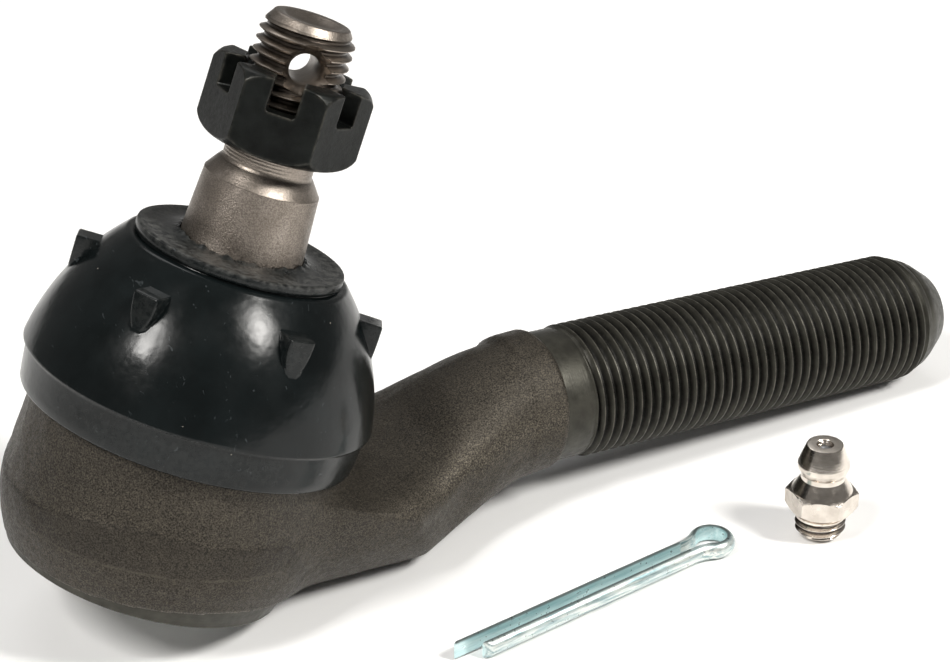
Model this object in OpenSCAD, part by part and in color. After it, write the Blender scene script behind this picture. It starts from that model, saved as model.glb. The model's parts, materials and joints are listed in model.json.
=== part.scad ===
// Tie rod end: a ball stud held in a forged socket whose arm ends in a threaded shank, with
// its castle nut, and with its cotter pin and grease fitting lying loose beside it.
//
// Every piece of the joint is drawn about the centre of the ball, with the stud upright along
// +Z and the arm towards +X. lay_down() then sets the joint on the bench, where the rim of the
// socket and the end of the shank touch z = 0 and the stud leans towards the shank. The origin
// is on the bench, under the middle of the bounding box.

/* [Ball stud] */
// Radius of the ball
ball_r = 10.3; // [10.2:0.02:10.34]
// Depth of the flat that cuts off the ball, below its centre
ball_flat = 8.6; // [8.3:0.05:8.7]
// Radius of the neck above the ball
neck_r = 6.4; // [6:0.1:6.5]
// Height of the large end of the taper above the ball's centre
taper_bottom = 18.5; // [18:0.1:19]
// Height of the small end of the taper above the ball's centre
taper_top = 34.5; // [34:0.1:35]
// Radius at the small end of the taper
taper_small_r = 6.82; // [6.7:0.01:6.9]
// Growth of the taper's radius per mm, which is half of 1 in 8
taper_rate = 0.0625; // [0.06:0.0005:0.065]
// Major radius of the stud's 7/16-20 thread
stud_thread_r = 5.556; // [5.5:0.002:5.56]
// Height of the stud's end above the ball's centre
stud_top = 54; // [53.5:0.1:55]
// Radius of the cross hole for the cotter pin
cross_hole_r = 1.8; // [1.7:0.01:1.85]
// Height of the cross hole above the ball's centre
cross_hole_z = 48.9; // [48.9:0.05:49.3]
// Direction of the cross hole about the stud, counted from the arm
cross_hole_turn = -108.5; // [-180:0.5:180]

/* [Castle nut] */
// Width across the nut's flats
nut_flats = 16.5; // [16.3:0.05:16.7]
// Height of the nut
nut_h = 9.4; // [9.2:0.1:9.6]
// Height of the nut's bottom face above the ball's centre
nut_z = 38.5; // [38.4:0.1:38.7]
// Width of each slot
slot_w = 3.35; // [3.2:0.05:3.5]
// Depth of each slot from the top face
slot_d = 3.85; // [3.6:0.05:4.1]
// Turn of the nut about the stud
nut_turn = -4; // [-30:0.5:30]

/* [Socket] */
// Radius of the forged cup at its parting line
socket_r = 19.25; // [19:0.05:19.4]
// Depth of the cup's bottom rim below the ball's centre
socket_bottom = 14.6; // [14.4:0.1:14.8]
// Radius of the flat on the bottom rim
rim_r = 16.4; // [16.2:0.1:16.6]
// Height of the cup's top face above the ball's centre
socket_top = 9; // [8.8:0.1:9]
// Radius of the machined collar that the boot grips
collar_r = 18.4; // [18.3:0.05:18.5]
// Radius of the bore that holds the bearings
bore_r = 13.55; // [13.5:0.01:13.6]
// Radius of the counterbore that holds the cover plate
cover_r = 14.4; // [14.3:0.05:14.5]
// Running clearance at the ball and around the bearings
play = 0.05; // [0.03:0.01:0.07]
// Swing of the stud each way
swing = 25; // [22:1:25]
// Wall radius of the 1/4-28 hole for the grease fitting
grease_hole_r = 2.75; // [2.7:0.01:2.8]

/* [Arm and shank] */
// Slope of the shank above the plane square to the stud
shank_rise = 18; // [17.8:0.1:18.2]
// Depth at which the shank's axis passes under the ball's centre
shank_drop = 4.1; // [4:0.05:4.2]
// Major radius of the 11/16-18 thread
shank_thread_r = 8.73; // [8.7:0.01:8.74]
// Radius of the turned neck between the arm and the thread
shank_neck_r = 8.45; // [8.3:0.05:8.5]
// Where the forged arm ends and the turned neck shows, along the shank's axis
arm_end = 51.1; // [50.5:0.1:51.5]
// Where the thread starts, along the shank's axis
thread_start = 55.9; // [55.5:0.1:56.5]
// Where the thread ends, along the shank's axis
thread_end = 108.4; // [108:0.1:109]
// End of the shank, along its axis
shank_end = 114.9; // [114.5:0.1:115.5]

/* [Dust boot] */
// Radius of the crease between the dome and the skirt
crease_r = 21.1; // [21:0.05:21.2]
// Height of the crease above the ball's centre
crease_z = 9.5; // [9.5:0.05:9.6]
// Outer radius at the bottom of the skirt
skirt_r = 20.2; // [20.1:0.05:20.3]
// Height of the skirt's bottom edge above the ball's centre
skirt_z = 4.35; // [4.35:0.05:4.5]
// Wall of the dome
boot_wall = 1.5; // [1.3:0.1:1.6]
// Radius of the flat lip around the stud
lip_r = 12.45; // [12.2:0.05:12.6]
// Height of the lip's top face above the ball's centre
lip_top = 26.55; // [26.5:0.05:26.7]
// Thickness of the lip
lip_h = 1.5; // [1.4:0.05:1.8]
// Width of each lug
lug_w = 3.4; // [3.2:0.1:4]

/* [Cotter pin] */
// Radius of the pair of half-round prongs
pin_r = 1.15; // [1.1:0.05:1.2]
// Length of the longer prong, from the middle of the eye
pin_length = 39.5; // [38:0.1:40]
// How much shorter the other prong is
pin_step = 2.8; // [2:0.1:4]
// Inner radius of the eye
eye_r = 1.85; // [1.8:0.05:1.9]

/* [Grease fitting] */
// Width across the fitting's flats, 5/16 inch
fitting_flats = 7.94; // [7.9:0.01:8]
// Radius of the fitting's 1/4-28 thread
fitting_thread_r = 3.17; // [3.1:0.01:3.18]
// Largest radius of the fitting's head
fitting_head_r = 3.27; // [3.25:0.01:3.3]

/* [Hidden] */
$fn = 96;
sink = 0.5;          // how far a fused shape runs into its neighbour
cut = 1;             // how far a cutter runs past the face it cuts

// Bearings, spring and cover under the ball
bearing_r = bore_r - play;
seat_r = ball_r + play;
bearing_top = 4.35;
upper_bearing_bottom = 0;
lower_bearing_top = -0.6;
lower_bearing_bottom = -8.4;
cover_top = -10.65;
cover_h = 2.2;
boss_h = 1.05;
boss_r = 5;
spring_top = lower_bearing_bottom - play;
spring_in = 7.5;
spring_out = 13.2;
spring_t = 0.85;
mouth_bottom = bearing_top + play;
mouth_r = neck_r / cos(swing) + mouth_bottom * tan(swing) + 0.8;
mouth_top_r = neck_r / cos(swing) + socket_top * tan(swing) + 0.8;
collar_bottom = skirt_z - 0.05;
groove = [5.8, 7.2, 0.8];     // bottom, top and depth of the collar's groove

// Stud above the taper
relief_r = 5.3;
relief_top = 38.9;
shoulder_h = 1.9;
stud_chamfer_r = 4.45;
stud_chamfer_h = 2.3;
dish_r = 3.4;
dish_d = 0.8;
hole_flare = 2;               // depth of the countersink at each end of the cross hole

// Side of the cup from its turned rim up: [radius, height], with a step at the parting line
cup_side = [
    [rim_r + 0.35, -socket_bottom + 0.25], [rim_r + 0.45, -socket_bottom + 0.8],
    [rim_r + 0.85, -socket_bottom + 1], [18.2, -11.5], [18.7, -9.7], [19.05, -7.7],
    [socket_r, -5.9], [socket_r, -5.4], [socket_r - 0.15, -5], [18.95, -2], [18.65, collar_bottom]
];

// Arm: [distance along X, height of its edge, rise above and depth below that, half width, and
// how square its upper and lower halves are, where 2 is elliptical and more is squarer]
arm_sections = [
    [6, -1.5, 4.2, 12.7, 18.9, 2.3, 4],
    [13, -1.4, 4.8, 12.0, 18.2, 2.3, 4.5],
    [20, -1.2, 4.7, 11.7, 17.7, 2.2, 4.8],
    [26, 0.2, 5.0, 10.7, 15.6, 2, 4.8],
    [32, 2.4, 7.3, 10.5, 12.1, 1.9, 4.2],
    [38, 5.6, 9.9, 9.9, 10.2, 2, 3],
    [44, 8.9, 10.5, 9.8, 8.7, 2, 2.2],
    [52, 12.8, 8.9, 8.9, 8.7, 2, 2]
];
shank_shoulder = [7.3, 111.9];  // radius and place of the bend in the cone at the shank's end
shank_end_r = 5.1;
boot_room = 0.35;             // clearance of the arm around the boot's skirt

// Dome of the boot: an arc about this centre, from the crease to the shoulder under the lip
dome_c = [-7.4, 4.75];
dome_R = norm([crease_r, crease_z] - dome_c);
dome_a0 = atan2(crease_z - dome_c[1], crease_r - dome_c[0]);
dome_a1 = 43.1;
dome_top = lip_top - lip_h - play;
lug_top = 12.8 + crease_z;
lug_bottom = 8.2 + crease_z;
lug_face = 18.35;
lug_count = 6;
lug_turn = 30;
sleeve_bottom = 20.5;
sleeve_wall = 1.5;

// Cotter pin and grease fitting on the bench, from the point under the ball's centre
pin_at = [59.9, -25.3];
pin_turn = 7.2;
prong_gap = 0.8;              // from the pin's middle to the flat of each prong
eye_open = 35;
neck_x = -5.5;
fitting_at = [73.8, -29.2];
fitting_turn = -10;
fitting_h = 12.95;
hex_bottom = 3.75;
hex_top = 6.65;
check_ball_r = 1.15;
check_ball_z = 11.55;
chamber_r = 1.3;
port_r = 0.9;

// Rest on the bench: the lean brings the rim and the end of the thread to the same height
rim_point = [rim_r, -socket_bottom];
shank_point = [
    thread_end * cos(shank_rise) + shank_thread_r * sin(shank_rise),
    -shank_drop + thread_end * sin(shank_rise) - shank_thread_r * cos(shank_rise)
];
lean = atan2(shank_point[1] - rim_point[1], shank_point[0] - rim_point[0]);
rest_h = rim_point[0] * sin(lean) + socket_bottom * cos(lean);
low_x = -max([for (p = cup_side) p[0] * cos(lean) - p[1] * sin(lean)]);
high_x = (shank_end * cos(shank_rise)) * cos(lean)
       + (shank_end * sin(shank_rise) - shank_drop) * sin(lean)
       + shank_end_r * sin(lean - shank_rise);
low_y = fitting_at[1] - fitting_flats / sqrt(3) * cos(10);
centre = [(low_x + high_x) / 2, (low_y + crease_r) / 2];

function taper_r(z) = taper_small_r + (taper_top - z) * taper_rate;
function arc(c, r, from, to, steps) =
    [for (i = [0:steps]) let (a = from + (to - from) * i / steps) c + r * [cos(a), sin(a)]];

module lay_down() {
    translate([-centre[0], -centre[1], rest_h]) rotate([0, lean, 0]) children();
}

module on_bench(at, turn) {
    translate([at[0] - centre[0], at[1] - centre[1], 0]) rotate([0, 0, turn]) children();
}

// Turns a shape drawn along +Z so that it lies along the shank's axis
module along_shank() {
    translate([0, 0, -shank_drop]) rotate([0, 90 - shank_rise, 0]) children();
}

module forged_cup() {
    rotate_extrude() polygon([
        [0, -socket_bottom], [rim_r, -socket_bottom], each cup_side, [collar_r, collar_bottom],
        [collar_r, groove[0]], [collar_r - groove[2], groove[0] + 0.3],
        [collar_r - groove[2], groove[1] - 0.3], [collar_r, groove[1]],
        [collar_r, socket_top - 0.5], [collar_r - 0.5, socket_top], [0, socket_top]
    ]);
}

function signed_power(x, p) = sign(x) * pow(abs(x), p);

module arm_section(s) {
    translate([s[0], 0, s[1]]) rotate([90, 0, 90]) linear_extrude(height = 0.2, center = true)
        polygon([for (a = [0:10:350])
            let (up = sin(a) >= 0, p = 2 / (up ? s[5] : s[6]))
            [s[4] * signed_power(cos(a), p), (up ? s[2] : s[3]) * signed_power(sin(a), p)]
        ]);
}

module arm() {
    difference() {
        for (i = [0:len(arm_sections) - 2]) hull() {
            arm_section(arm_sections[i]);
            arm_section(arm_sections[i + 1]);
        }
        along_shank() translate([0, 0, arm_end]) cylinder(r = 14, h = 12);
    }
}

module shank() {
    along_shank() rotate_extrude() polygon([
        [0, arm_end - 2], [shank_neck_r, arm_end - 2],
        [shank_neck_r, thread_start - 0.4], [shank_thread_r, thread_start],
        [shank_thread_r, thread_end], shank_shoulder, [shank_end_r, shank_end], [0, shank_end]
    ]);
}

module socket_cavity() {
    rotate_extrude() polygon([
        [0, -socket_bottom - cut], [bore_r + 0.2, -socket_bottom - cut],
        [bore_r + 0.2, -socket_bottom], [bore_r - 0.2, cover_top - cover_h],
        [cover_r, cover_top - cover_h], [cover_r, cover_top], [bore_r, cover_top],
        [bore_r, mouth_bottom], [mouth_r, mouth_bottom], [mouth_top_r, socket_top],
        [mouth_top_r, socket_top + cut], [0, socket_top + cut]
    ]);
}

module boot_clearance() {
    difference() {
        translate([0, 0, collar_bottom]) cylinder(r = crease_r + boot_room, h = 20);
        translate([0, 0, collar_bottom - cut]) cylinder(r = collar_r, h = 20 + 2 * cut);
    }
}

module socket_housing() {
    color("#3a3632") lay_down() difference() {
        union() {
            forged_cup();
            arm();
            shank();
        }
        socket_cavity();
        boot_clearance();
    }
}

module upper_bearing() {
    color("#8d8f91") lay_down() difference() {
        translate([0, 0, upper_bearing_bottom])
            cylinder(r = bearing_r, h = bearing_top - upper_bearing_bottom);
        sphere(r = seat_r);
    }
}

module lower_bearing() {
    color("#8d8f91") lay_down() difference() {
        translate([0, 0, lower_bearing_bottom])
            cylinder(r = bearing_r, h = lower_bearing_top - lower_bearing_bottom);
        sphere(r = seat_r);
    }
}

module preload_spring() {
    color("#5c6470") lay_down() rotate_extrude() polygon([
        [spring_in, spring_top], [spring_out, cover_top + spring_t],
        [spring_out, cover_top], [spring_in, spring_top - spring_t]
    ]);
}

module cover_plate() {
    color("#b3b6b8") lay_down() difference() {
        union() {
            translate([0, 0, cover_top - cover_h]) cylinder(r = cover_r, h = cover_h);
            translate([0, 0, cover_top - cover_h - boss_h]) cylinder(r = boss_r, h = boss_h + sink);
        }
        translate([0, 0, cover_top - cover_h - boss_h - cut])
            cylinder(r = grease_hole_r, h = cover_h + boss_h + 2 * cut);
    }
}

module stud_body() {
    intersection() {
        sphere(r = ball_r);
        translate([0, 0, -ball_flat]) cylinder(r = ball_r, h = 2 * ball_r);
    }
    rotate_extrude() polygon([
        [0, 0], [neck_r, 0], [neck_r, taper_bottom - 4.5], [neck_r + 0.4, taper_bottom - 2.6],
        [taper_r(taper_bottom), taper_bottom], [taper_small_r, taper_top],
        [relief_r, taper_top + shoulder_h], [relief_r, relief_top],
        [stud_thread_r, relief_top + 0.5], [stud_thread_r, stud_top - stud_chamfer_h],
        [stud_chamfer_r, stud_top], [dish_r, stud_top], [0, stud_top - dish_d]
    ]);
}

module cross_hole() {
    translate([0, 0, cross_hole_z]) rotate([0, 90, cross_hole_turn]) {
        cylinder(r = cross_hole_r, h = 4 * stud_thread_r, center = true);
        for (end = [0, 180]) rotate([0, end, 0])
            translate([0, 0, stud_thread_r - hole_flare])
                cylinder(r1 = cross_hole_r, r2 = cross_hole_r + 1.5 * hole_flare, h = 2 * hole_flare);
    }
}

module ball_stud() {
    color("#9a938a") lay_down() difference() {
        stud_body();
        cross_hole();
    }
}

module lug() {
    w = lug_w / 2;
    translate([lug_face, 0, 0]) rotate([0, -90, 0]) linear_extrude(height = 3.6) union() {
        translate([lug_bottom + w, -w]) square([lug_top - lug_bottom - w, lug_w]);
        translate([lug_bottom + w, 0]) circle(r = w);
    }
}

module dust_boot() {
    shoulder = dome_c + dome_R * [cos(dome_a1), sin(dome_a1)];
    color("#15181b") lay_down() difference() {
        union() {
            rotate_extrude() polygon(concat(
                [[0, skirt_z], [skirt_r, skirt_z], [skirt_r + 0.4, crease_z - 0.2]],
                arc(dome_c, dome_R, dome_a0, dome_a1, 8),
                [[shoulder[0] - 1, dome_top], [0, dome_top]]
            ));
            for (i = [0:lug_count - 1]) rotate([0, 0, lug_turn + i * 360 / lug_count]) lug();
        }
        rotate_extrude() polygon(concat(
            [
                [0, skirt_z - cut], [collar_r + play, skirt_z - cut], [collar_r + play, groove[0]],
                [collar_r + play - groove[2], groove[0] + 0.4],
                [collar_r + play - groove[2], groove[1] - 0.4], [collar_r + play, groove[1]],
                [collar_r + play, socket_top + play]
            ],
            arc(dome_c, dome_R - boot_wall, dome_a0 + 2, dome_a1 - 2, 8),
            [
                [taper_r(dome_top) + sleeve_wall + 2 * play, dome_top - boot_wall],
                [taper_r(dome_top) + sleeve_wall + 2 * play, dome_top + cut], [0, dome_top + cut]
            ]
        ));
    }
}

module boot_lip() {
    color("#1d2022") lay_down() difference() {
        union() {
            translate([0, 0, lip_top - lip_h]) cylinder(r = lip_r, h = lip_h);
            translate([0, 0, sleeve_bottom])
                cylinder(r = taper_r(dome_top) + sleeve_wall, h = lip_top - sleeve_bottom - sink);
        }
        translate([0, 0, sleeve_bottom - cut]) cylinder(
            r1 = taper_r(sleeve_bottom - cut) + play, r2 = taper_r(lip_top + cut) + play,
            h = lip_top - sleeve_bottom + 2 * cut
        );
    }
}

module castle_nut() {
    corner_r = nut_flats / sqrt(3);
    color("#23282a") lay_down() translate([0, 0, nut_z]) rotate([0, 0, nut_turn]) difference() {
        intersection() {
            rotate([0, 0, 30]) cylinder(r = corner_r, h = nut_h, $fn = 6);
            rotate_extrude() polygon([
                [0, 0], [nut_flats / 2 - 0.9, 0], [corner_r - 0.25, 1.8], [corner_r + 0.1, 2.9],
                [corner_r + 0.1, nut_h - 1.45], [corner_r - 0.35, nut_h - 0.6],
                [nut_flats / 2 + 0.1, nut_h], [0, nut_h]
            ]);
        }
        translate([0, 0, -cut]) cylinder(r = stud_thread_r + play, h = nut_h + 2 * cut);
        for (turn = [0:60:300]) rotate([0, 0, turn])
            translate([0, -slot_w / 2, nut_h - slot_d]) cube([nut_flats, slot_w, slot_d + cut]);
    }
}

// Half of a round bar, standing on its flat at y = 0 and bulging towards +Y
module half_round(length) {
    rotate([0, 90, 0]) intersection() {
        cylinder(r = pin_r, h = length, $fn = 48);
        translate([-pin_r, 0, 0]) cube([2 * pin_r, pin_r, length]);
    }
}

module eye() {
    rotate([0, 0, -180 + eye_open]) rotate_extrude(angle = 360 - 2 * eye_open) intersection() {
        translate([eye_r, 0]) circle(r = pin_r);
        translate([eye_r, -pin_r]) square([pin_r, 2 * pin_r]);
    }
}

module eye_leg() {
    hull() {
        rotate([0, 0, 90 - eye_open]) translate([-0.05, eye_r, 0]) half_round(0.1);
        translate([neck_x, prong_gap, 0]) half_round(0.1);
    }
}

module cotter_pin() {
    color("#b9c6c8") on_bench(pin_at, pin_turn) translate([0, 0, pin_r]) union() {
        eye();
        eye_leg();
        mirror([0, 1, 0]) eye_leg();
        translate([-pin_length, prong_gap, 0]) half_round(pin_length + neck_x + 0.1);
        mirror([0, 1, 0]) translate([pin_step - pin_length, prong_gap, 0])
            half_round(pin_length - pin_step + neck_x + 0.1);
    }
}

module grease_fitting() {
    corner_r = fitting_flats / sqrt(3);
    color("#b8b2ac") on_bench(fitting_at, fitting_turn) difference() {
        union() {
            rotate_extrude() polygon([
                [0, 0], [2.1, 0], [fitting_thread_r, 1.3], [fitting_thread_r, hex_bottom - 0.3],
                [2.9, hex_bottom - 0.2], [2.9, hex_top], [3.9, hex_top], [2.85, hex_top + 1.5],
                [2.75, hex_top + 1.7], [2.75, hex_top + 2.3], [fitting_head_r, fitting_h - 3.1],
                [fitting_head_r, fitting_h - 2.4], [2.2, fitting_h], [0, fitting_h]
            ]);
            intersection() {
                rotate([0, 0, 30]) translate([0, 0, hex_bottom])
                    cylinder(r = corner_r, h = hex_top - hex_bottom, $fn = 6);
                rotate_extrude() polygon([
                    [0, hex_bottom], [3.8, hex_bottom], [corner_r + 0.05, hex_bottom + 1],
                    [corner_r + 0.05, hex_top - 0.6], [3.9, hex_top], [0, hex_top]
                ]);
            }
        }
        rotate_extrude() polygon([
            [0, -cut], [chamber_r - 0.2, -cut], [chamber_r - 0.2, 2], [chamber_r, 2],
            [chamber_r, check_ball_z], [port_r, check_ball_z + 0.7], [port_r, fitting_h + cut],
            [0, fitting_h + cut]
        ]);
    }
}

module fitting_check_ball() {
    color("#d0d2d4") on_bench(fitting_at, 0) translate([0, 0, check_ball_z - 0.05])
        sphere(r = check_ball_r);
}

module fitting_check_spring() {
    wire = 0.15;
    color("#8a8f94") on_bench(fitting_at, 0)
        for (z = [2.2:0.785:10.1]) translate([0, 0, z]) rotate_extrude(convexity = 4)
            translate([chamber_r - wire - 0.1, 0]) circle(r = wire, $fn = 16);
}

socket_housing();
upper_bearing();
lower_bearing();
preload_spring();
cover_plate();
ball_stud();
dust_boot();
boot_lip();
castle_nut();
cotter_pin();
grease_fitting();
fitting_check_ball();
fitting_check_spring();
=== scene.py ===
"""Looks of the tie rod end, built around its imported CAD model.

Every piece of the joint is drawn in millimetres about the centre of the ball, with the stud
upright along +Z and the arm towards +X. JOINT then carries it to its place on the bench.
"""

import json
import math

import bmesh
import bpy
import numpy as np
from mathutils import Matrix, Vector


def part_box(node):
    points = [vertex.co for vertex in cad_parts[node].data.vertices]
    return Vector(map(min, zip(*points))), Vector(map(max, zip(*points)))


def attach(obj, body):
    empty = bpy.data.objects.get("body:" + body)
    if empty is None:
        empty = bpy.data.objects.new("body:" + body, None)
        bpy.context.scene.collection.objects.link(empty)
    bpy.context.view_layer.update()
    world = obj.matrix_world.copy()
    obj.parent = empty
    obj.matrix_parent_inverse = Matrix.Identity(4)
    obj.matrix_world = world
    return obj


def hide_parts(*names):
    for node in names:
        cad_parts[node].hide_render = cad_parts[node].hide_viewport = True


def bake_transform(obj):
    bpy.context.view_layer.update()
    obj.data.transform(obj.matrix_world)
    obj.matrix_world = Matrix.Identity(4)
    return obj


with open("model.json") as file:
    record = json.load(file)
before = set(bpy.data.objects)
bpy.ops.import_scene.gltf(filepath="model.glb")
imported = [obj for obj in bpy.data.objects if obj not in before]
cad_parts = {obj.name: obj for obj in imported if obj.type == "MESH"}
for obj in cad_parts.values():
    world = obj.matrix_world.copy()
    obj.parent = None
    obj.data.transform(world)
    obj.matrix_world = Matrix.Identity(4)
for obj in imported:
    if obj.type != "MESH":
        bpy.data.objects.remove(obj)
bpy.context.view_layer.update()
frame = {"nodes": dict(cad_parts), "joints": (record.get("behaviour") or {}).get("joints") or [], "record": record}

# ---------------------------------------------------------------- places, from the frame

MM = 0.001
joints = {joint["name"]: joint for joint in frame["joints"]}
mounts = {mount["name"]: mount for mount in frame["record"]["mounts"]}
ball = Vector(joints["stud_tilt"]["pos_m"])
stud_axis = Vector(joints["bearing_turn"]["axis"]).normalized()
across = Vector((0, 1, 0))
arm_axis = across.cross(stud_axis)
shank_axis = Vector(mounts["shank_thread"]["axis"]).normalized()
MILLI = Matrix.Scale(MM, 4)


def frame_of(origin, x_axis, y_axis, z_axis):
    """Matrix that carries millimetres along the three axes to metres in the row frame."""
    turn = Matrix((x_axis, y_axis, z_axis)).transposed().to_4x4()
    return Matrix.Translation(origin) @ turn @ MILLI


JOINT = frame_of(ball, arm_axis, across, stud_axis)

# The shank's own frame: +Z along the shank, from where its axis crosses the stud's
shank_rise = math.asin(shank_axis.dot(stud_axis))
shank_middle = Vector(mounts["shank_thread"]["pos_m"]) - ball
shank_reach = shank_middle.dot(arm_axis) / math.cos(shank_rise)
shank_root = ball + shank_middle - shank_reach * shank_axis
shank_drop = -(shank_root - ball).dot(stud_axis) / MM
SHANK = frame_of(shank_root, across.cross(shank_axis), across, shank_axis)

fitting_low, fitting_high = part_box("grease_fitting")
fitting_middle = (fitting_low + fitting_high) / 2
FITTING = Matrix.Translation((fitting_middle.x, fitting_middle.y, 0)) @ Matrix.Rotation(
    math.radians(-10), 4, "Z") @ MILLI

pin_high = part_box("cotter_pin")[1]
PIN_TURN = math.radians(7.2)
PIN_R, PIN_GAP, PIN_EYE = 1.15, 0.85, 1.93
EYE_OUT = 3.0
PIN_LENGTH = 39.5
PIN_STEP = 2.8
pin_eye = Vector((pin_high.x / MM - EYE_OUT, 0, pin_high.z / MM / 2))
pin_eye.y = pin_high.y / MM - EYE_OUT
PIN = MILLI @ Matrix.Translation(pin_eye) @ Matrix.Rotation(PIN_TURN, 4, "Z")


# ---------------------------------------------------------------- mesh helpers

def weld(name, verts, faces, tolerance=1e-4):
    """A mesh from loose grids, with the points that coincide joined and the outside outward."""
    mesh = bpy.data.meshes.new(name)
    mesh.from_pydata([tuple(v) for v in verts], [], faces)
    bm = bmesh.new()
    bm.from_mesh(mesh)
    bmesh.ops.remove_doubles(bm, verts=bm.verts, dist=tolerance)
    bmesh.ops.dissolve_degenerate(bm, edges=bm.edges, dist=tolerance)
    bmesh.ops.recalc_face_normals(bm, faces=bm.faces)
    bm.to_mesh(mesh)
    bm.free()
    return mesh


def grid_faces(rows, columns, start=0):
    faces = []
    for i in range(rows - 1):
        for j in range(columns - 1):
            a = start + i * columns + j
            faces.append((a, a + 1, a + columns + 1, a + columns))
    return faces


def join_grids(name, grids):
    """One welded mesh from arrays of points, each rows by columns by 3."""
    verts, faces = [], []
    for grid in grids:
        rows, columns = grid.shape[:2]
        faces += grid_faces(rows, columns, len(verts))
        verts += grid.reshape(-1, 3).tolist()
    return weld(name, verts, faces)


def angles(count):
    return np.linspace(0, 2 * math.pi, count + 1)


def turned(profile, count=128):
    """Grid of points made by turning a profile of (radius, height) about Z."""
    profile = np.array(profile, float)
    turn = angles(count)[None, :]
    radius = profile[:, :1]
    height = profile[:, 1:] + 0 * turn
    return np.stack([radius * np.cos(turn), radius * np.sin(turn), height], -1)


def arc(centre, radius, start, end, steps):
    """Points (radius, height) along an arc, between two angles in degrees."""
    sweep = np.radians(np.linspace(start, end, steps + 1))
    return [(centre[0] + radius * math.cos(a), centre[1] + radius * math.sin(a)) for a in sweep]


def smooth_step(low, high, x):
    t = np.clip((x - low) / (high - low), 0, 1)
    return t * t * (3 - 2 * t)


# Height along the pitch and depth of the groove there: a crest, a flank, a round root, a flank
THREAD_FORM = [(0.0, 0.06), (0.03, 0.0), (0.10, 0.0), (0.13, 0.06), (0.26, 0.48), (0.40, 0.90),
               (0.48, 1.0), (0.65, 1.0), (0.73, 0.90), (0.87, 0.48)]


def thread(bottom, top, pitch, major, depth, envelope, fade_low=0.8, fade_high=0.8, count=128):
    """Grid of a right-hand thread whose rows follow the helix. envelope is (heights, radii)."""
    turns = int((top - bottom) / pitch) + 2
    starts = np.arange(-1, turns)[:, None] + np.array([t for t, _ in THREAD_FORM])[None, :]
    groove = np.tile([d for _, d in THREAD_FORM], turns + 1)
    turn = angles(count)[None, :]
    raw = bottom + pitch * (starts.reshape(-1, 1) + turn / (2 * math.pi))
    height = np.clip(raw, bottom, top)
    fade = smooth_step(0, fade_low * pitch + 1e-6, height - bottom)
    fade = fade * smooth_step(0, fade_high * pitch + 1e-6, top - height)
    radius = major - depth * groove[:, None] * fade
    radius = np.minimum(radius, np.interp(height, *envelope))
    return np.stack([radius * np.cos(turn), radius * np.sin(turn), height], -1)


def coordinates(mesh):
    co = np.zeros(len(mesh.vertices) * 3)
    mesh.vertices.foreach_get("co", co)
    return co.reshape(-1, 3)


def paint(mesh, name, values):
    """Stores one number per vertex, which a material reads by name."""
    layer = mesh.attributes.new(name, "FLOAT", "POINT")
    layer.data.foreach_set("value", np.broadcast_to(values, len(mesh.vertices)).astype(np.float32))


def place(mesh, matrix, body, replaced=(), materials=(), sharp=40):
    """Sets a mesh down as a finished piece that rides on a body."""
    mesh.transform(matrix)
    mesh.shade_smooth()
    mesh.set_sharp_from_angle(angle=math.radians(sharp))
    piece = bpy.data.objects.new(mesh.name, mesh)
    bpy.context.scene.collection.objects.link(piece)
    for material in materials:
        mesh.materials.append(material)
    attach(piece, body)
    if replaced:
        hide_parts(*replaced)
    return piece


def scratch_object(mesh):
    piece = bpy.data.objects.new("scratch", mesh)
    bpy.context.scene.collection.objects.link(piece)
    return piece


def carve(mesh, tool, operation="DIFFERENCE"):
    """The mesh left when a boolean operation with the tool's mesh is applied."""
    target, cutter = scratch_object(mesh), scratch_object(tool)
    step = target.modifiers.new("carve", "BOOLEAN")
    step.operation = operation
    step.object = cutter
    step.solver = "EXACT"
    return finish_modifiers(target, cutter)


def finish_modifiers(target, *others):
    graph = bpy.context.evaluated_depsgraph_get()
    result = bpy.data.meshes.new_from_object(target.evaluated_get(graph))
    result.name = target.data.name
    for piece in (target, *others):
        bpy.data.objects.remove(piece)
    return result


def remesh(mesh, voxel, smoothing=0):
    """Even quads over the whole surface, with its edges softened by a few smoothing steps."""
    target = scratch_object(mesh)
    step = target.modifiers.new("remesh", "REMESH")
    step.mode = "VOXEL"
    step.voxel_size = voxel
    step.adaptivity = 0
    if smoothing:
        soften = target.modifiers.new("soften", "SMOOTH")
        soften.factor = 0.5
        soften.iterations = smoothing
    return finish_modifiers(target)


def edge_wear(mesh, reach=1, gain=1.0):
    """How far each vertex stands out of its neighbours' plane, as 0 to 1."""
    co = coordinates(mesh)
    edges = np.zeros(len(mesh.edges) * 2, int)
    mesh.edges.foreach_get("vertices", edges)
    edges = edges.reshape(-1, 2)
    normals = np.zeros(len(mesh.vertices) * 3)
    mesh.vertices.foreach_get("normal", normals)
    normals = normals.reshape(-1, 3)
    bulge = np.zeros(len(co))
    count = np.zeros(len(co))
    for a, b in ((0, 1), (1, 0)):
        lean = np.einsum("ij,ij->i", co[edges[:, a]] - co[edges[:, b]], normals[edges[:, a]])
        np.add.at(bulge, edges[:, a], lean)
        np.add.at(count, edges[:, a], 1)
    bulge /= np.maximum(count, 1)
    for _ in range(reach):
        total, near = bulge.copy(), np.ones(len(co))
        for a, b in ((0, 1), (1, 0)):
            np.add.at(total, edges[:, a], bulge[edges[:, b]])
            np.add.at(near, edges[:, a], 1)
        bulge = total / near
    return np.clip(bulge * gain, 0, 1)


# ---------------------------------------------------------------- material helpers

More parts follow.
